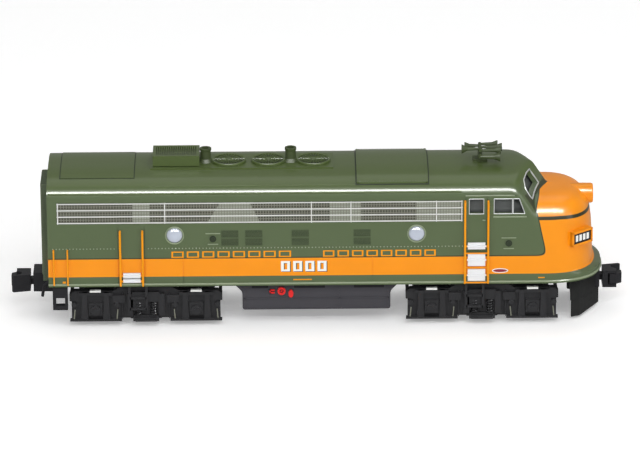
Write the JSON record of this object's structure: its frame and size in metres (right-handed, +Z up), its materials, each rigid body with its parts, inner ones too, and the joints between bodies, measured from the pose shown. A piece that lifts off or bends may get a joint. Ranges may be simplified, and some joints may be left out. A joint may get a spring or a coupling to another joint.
{
  "type": "model diesel locomotive",
  "caption": "Scale model of a streamlined cab-unit diesel locomotive with two geared swivelling trucks, end couplers, a hollow body shell and a worm drive.",
  "frame": {"origin": "middle of the length over couplers, on the centre line, on the plane that the wheel flanges touch", "axes": "+X forward to the nose, +Y to the left of the locomotive, +Z up"},
  "size_m": [0.076, 0.015, 0.0216],
  "materials": {
    "air_horn": "olive green paint, satin",
    "axle_gear_front_front": "natural acetal",
    "axle_gear_front_rear": "natural acetal",
    "axle_gear_rear_front": "natural acetal",
    "axle_gear_rear_rear": "natural acetal",
    "body_shell": "olive green paint with an orange band and nose, satin",
    "brake_hatch": "olive green paint, satin",
    "cab_glazing": "clear moulding",
    "cab_steps_left": "yellow painted etched brass with bright step plates",
    "cab_steps_right": "yellow painted etched brass with bright step plates",
    "chassis_left": "cast zinc alloy",
    "chassis_right": "cast zinc alloy",
    "chassis_screw_front": "bright steel",
    "chassis_screw_rear": "bright steel",
    "circuit_board": "green solder mask",
    "coupler_box_front": "black moulding",
    "coupler_box_rear": "black moulding",
    "coupler_front": "black moulding",
    "coupler_rear": "black moulding",
    "door_steps_left": "yellow painted etched brass with bright step plates",
    "door_steps_right": "yellow painted etched brass with bright step plates",
    "exhaust_stack_front": "dark grey-green paint",
    "exhaust_stack_rear": "dark grey-green paint",
    "flywheel_front": "turned brass",
    "flywheel_rear": "turned brass",
    "fuel_tank": "dark grey moulding",
    "headlight_lens": "clear moulding",
    "idler_gear_front_front": "natural acetal",
    "idler_gear_front_rear": "natural acetal",
    "idler_gear_rear_front": "natural acetal",
    "idler_gear_rear_rear": "natural acetal",
    "knuckle_front": "black moulding",
    "knuckle_rear": "black moulding",
    "motor": "drawn steel can",
    "motor_shaft": "bright steel",
    "number_board_left": "black panel",
    "number_board_right": "black panel",
    "porthole_front_left": "silvered clear lens",
    "porthole_front_right": "silvered clear lens",
    "porthole_rear_left": "silvered clear lens",
    "porthole_rear_right": "silvered clear lens",
    "radiator_fan_1": "olive green paint, satin",
    "radiator_fan_2": "olive green paint, satin",
    "radiator_fan_3": "olive green paint, satin",
    "rear_gangway": "olive green paint, satin",
    "side_grille_left": "etched stainless mesh",
    "side_grille_right": "etched stainless mesh",
    "snow_plow": "black moulding",
    "truck_frame_front": "black moulding",
    "truck_frame_rear": "black moulding",
    "truck_housing_front": "dark grey moulding",
    "truck_housing_rear": "dark grey moulding",
    "wheelset_front_front": "blackened nickel tread and axle",
    "wheelset_front_rear": "blackened nickel tread and axle",
    "wheelset_rear_front": "blackened nickel tread and axle",
    "wheelset_rear_rear": "blackened nickel tread and axle",
    "winterization_hatch": "olive green paint, satin",
    "worm_wheel_front": "natural acetal",
    "worm_wheel_rear": "natural acetal"
  },
  "bodies": {
    "chassis": {"air_horn": "air_horn", "body_shell": "body_shell", "brake_hatch": "brake_hatch", "cab_glazing": "cab_glazing", "cab_steps_left": "cab_steps_left", "cab_steps_right": "cab_steps_right", "chassis_left": "chassis_left", "chassis_right": "chassis_right", "chassis_screw_front": "chassis_screw_front", "chassis_screw_rear": "chassis_screw_rear", "circuit_board": "circuit_board", "coupler_box_front": "coupler_box_front", "coupler_box_rear": "coupler_box_rear", "door_steps_left": "door_steps_left", "door_steps_right": "door_steps_right", "exhaust_stack_front": "exhaust_stack_front", "exhaust_stack_rear": "exhaust_stack_rear", "fuel_tank": "fuel_tank", "headlight_lens": "headlight_lens", "motor": "motor", "number_board_left": "number_board_left", "number_board_right": "number_board_right", "porthole_front_left": "porthole_front_left", "porthole_front_right": "porthole_front_right", "porthole_rear_left": "porthole_rear_left", "porthole_rear_right": "porthole_rear_right", "radiator_fan_1": "radiator_fan_1", "radiator_fan_2": "radiator_fan_2", "radiator_fan_3": "radiator_fan_3", "rear_gangway": "rear_gangway", "side_grille_left": "side_grille_left", "side_grille_right": "side_grille_right", "snow_plow": "snow_plow", "winterization_hatch": "winterization_hatch"},
    "motor_shaft_body": {"motor_shaft": "motor_shaft", "flywheel_front": "flywheel_front", "flywheel_rear": "flywheel_rear"},
    "truck_front": {"truck_housing_front": "truck_housing_front", "truck_frame_front": "truck_frame_front"},
    "worm_wheel_body_front": {"worm_wheel_front": "worm_wheel_front"},
    "idler_body_front_front": {"idler_gear_front_front": "idler_gear_front_front"},
    "axle_body_front_front": {"wheelset_front_front": "wheelset_front_front", "axle_gear_front_front": "axle_gear_front_front"},
    "idler_body_front_rear": {"idler_gear_front_rear": "idler_gear_front_rear"},
    "axle_body_front_rear": {"wheelset_front_rear": "wheelset_front_rear", "axle_gear_front_rear": "axle_gear_front_rear"},
    "truck_rear": {"truck_housing_rear": "truck_housing_rear", "truck_frame_rear": "truck_frame_rear"},
    "worm_wheel_body_rear": {"worm_wheel_rear": "worm_wheel_rear"},
    "idler_body_rear_front": {"idler_gear_rear_front": "idler_gear_rear_front"},
    "axle_body_rear_front": {"wheelset_rear_front": "wheelset_rear_front", "axle_gear_rear_front": "axle_gear_rear_front"},
    "idler_body_rear_rear": {"idler_gear_rear_rear": "idler_gear_rear_rear"},
    "axle_body_rear_rear": {"wheelset_rear_rear": "wheelset_rear_rear", "axle_gear_rear_rear": "axle_gear_rear_rear"},
    "coupler_body_front": {"coupler_front": "coupler_front"},
    "knuckle_body_front": {"knuckle_front": "knuckle_front"},
    "coupler_body_rear": {"coupler_rear": "coupler_rear"},
    "knuckle_body_rear": {"knuckle_rear": "knuckle_rear"}
  },
  "joints": [
    {"name": "motor_spin", "type": "hinge", "parent": "chassis", "child": "motor_shaft_body", "pos_m": [-0.00035, 0, 0.0092], "axis": [1, 0, 0], "continuous": true},
    {"name": "truck_front_swivel", "type": "hinge", "parent": "chassis", "child": "truck_front", "pos_m": [0.02043, 0, 0.00538], "axis": [0, 0, 1], "range_deg": [-8, 8]},
    {"name": "worm_wheel_front_spin", "type": "hinge", "parent": "truck_front", "child": "worm_wheel_body_front", "pos_m": [0.02043, 0, 0.00538], "axis": [0, 1, 0], "continuous": true},
    {"name": "idler_front_front_spin", "type": "hinge", "parent": "truck_front", "child": "idler_body_front_front", "pos_m": [0.02405, 0, 0.00359], "axis": [0, 1, 0], "continuous": true},
    {"name": "axle_front_front_spin", "type": "hinge", "parent": "truck_front", "child": "axle_body_front_front", "pos_m": [0.02667, 0, 0.0023], "axis": [0, 1, 0], "continuous": true},
    {"name": "idler_front_rear_spin", "type": "hinge", "parent": "truck_front", "child": "idler_body_front_rear", "pos_m": [0.01681, 0, 0.00359], "axis": [0, 1, 0], "continuous": true},
    {"name": "axle_front_rear_spin", "type": "hinge", "parent": "truck_front", "child": "axle_body_front_rear", "pos_m": [0.01419, 0, 0.0023], "axis": [0, 1, 0], "continuous": true},
    {"name": "truck_rear_swivel", "type": "hinge", "parent": "chassis", "child": "truck_rear", "pos_m": [-0.02113, 0, 0.00538], "axis": [0, 0, 1], "range_deg": [-8, 8]},
    {"name": "worm_wheel_rear_spin", "type": "hinge", "parent": "truck_rear", "child": "worm_wheel_body_rear", "pos_m": [-0.02113, 0, 0.00538], "axis": [0, 1, 0], "continuous": true},
    {"name": "idler_rear_front_spin", "type": "hinge", "parent": "truck_rear", "child": "idler_body_rear_front", "pos_m": [-0.01751, 0, 0.00359], "axis": [0, 1, 0], "continuous": true},
    {"name": "axle_rear_front_spin", "type": "hinge", "parent": "truck_rear", "child": "axle_body_rear_front", "pos_m": [-0.0149, 0, 0.0023], "axis": [0, 1, 0], "continuous": true},
    {"name": "idler_rear_rear_spin", "type": "hinge", "parent": "truck_rear", "child": "idler_body_rear_rear", "pos_m": [-0.02475, 0, 0.00359], "axis": [0, 1, 0], "continuous": true},
    {"name": "axle_rear_rear_spin", "type": "hinge", "parent": "truck_rear", "child": "axle_body_rear_rear", "pos_m": [-0.02737, 0, 0.0023], "axis": [0, 1, 0], "continuous": true},
    {"name": "coupler_front_swing", "type": "hinge", "parent": "chassis", "child": "coupler_body_front", "pos_m": [0.033, 0, 0.00395], "axis": [0, 0, 1], "range_deg": [-8, 8], "stiffness_Nm_per_rad": 0.00001},
    {"name": "knuckle_front_open", "type": "hinge", "parent": "coupler_body_front", "child": "knuckle_body_front", "pos_m": [0.03685, -0.00085, 0.00395], "axis": [0, 0, -1], "range_deg": [0, 25], "stiffness_Nm_per_rad": 0.000002},
    {"name": "coupler_rear_swing", "type": "hinge", "parent": "chassis", "child": "coupler_body_rear", "pos_m": [-0.033, 0, 0.00395], "axis": [0, 0, 1], "range_deg": [-8, 8], "stiffness_Nm_per_rad": 0.00001},
    {"name": "knuckle_rear_open", "type": "hinge", "parent": "coupler_body_rear", "child": "knuckle_body_rear", "pos_m": [-0.03685, 0.00085, 0.00395], "axis": [0, 0, -1], "range_deg": [0, 25], "stiffness_Nm_per_rad": 0.000002}
  ],
  "couplings": [
    {"joint": "worm_wheel_front_spin", "follows": "motor_spin", "ratio": 0.05},
    {"joint": "idler_front_front_spin", "follows": "motor_spin", "ratio": -0.083333},
    {"joint": "axle_front_front_spin", "follows": "motor_spin", "ratio": 0.090909},
    {"joint": "idler_front_rear_spin", "follows": "motor_spin", "ratio": -0.083333},
    {"joint": "axle_front_rear_spin", "follows": "motor_spin", "ratio": 0.090909},
    {"joint": "worm_wheel_rear_spin", "follows": "motor_spin", "ratio": 0.05},
    {"joint": "idler_rear_front_spin", "follows": "motor_spin", "ratio": -0.083333},
    {"joint": "axle_rear_front_spin", "follows": "motor_spin", "ratio": 0.090909},
    {"joint": "idler_rear_rear_spin", "follows": "motor_spin", "ratio": -0.083333},
    {"joint": "axle_rear_rear_spin", "follows": "motor_spin", "ratio": 0.090909}
  ]
}
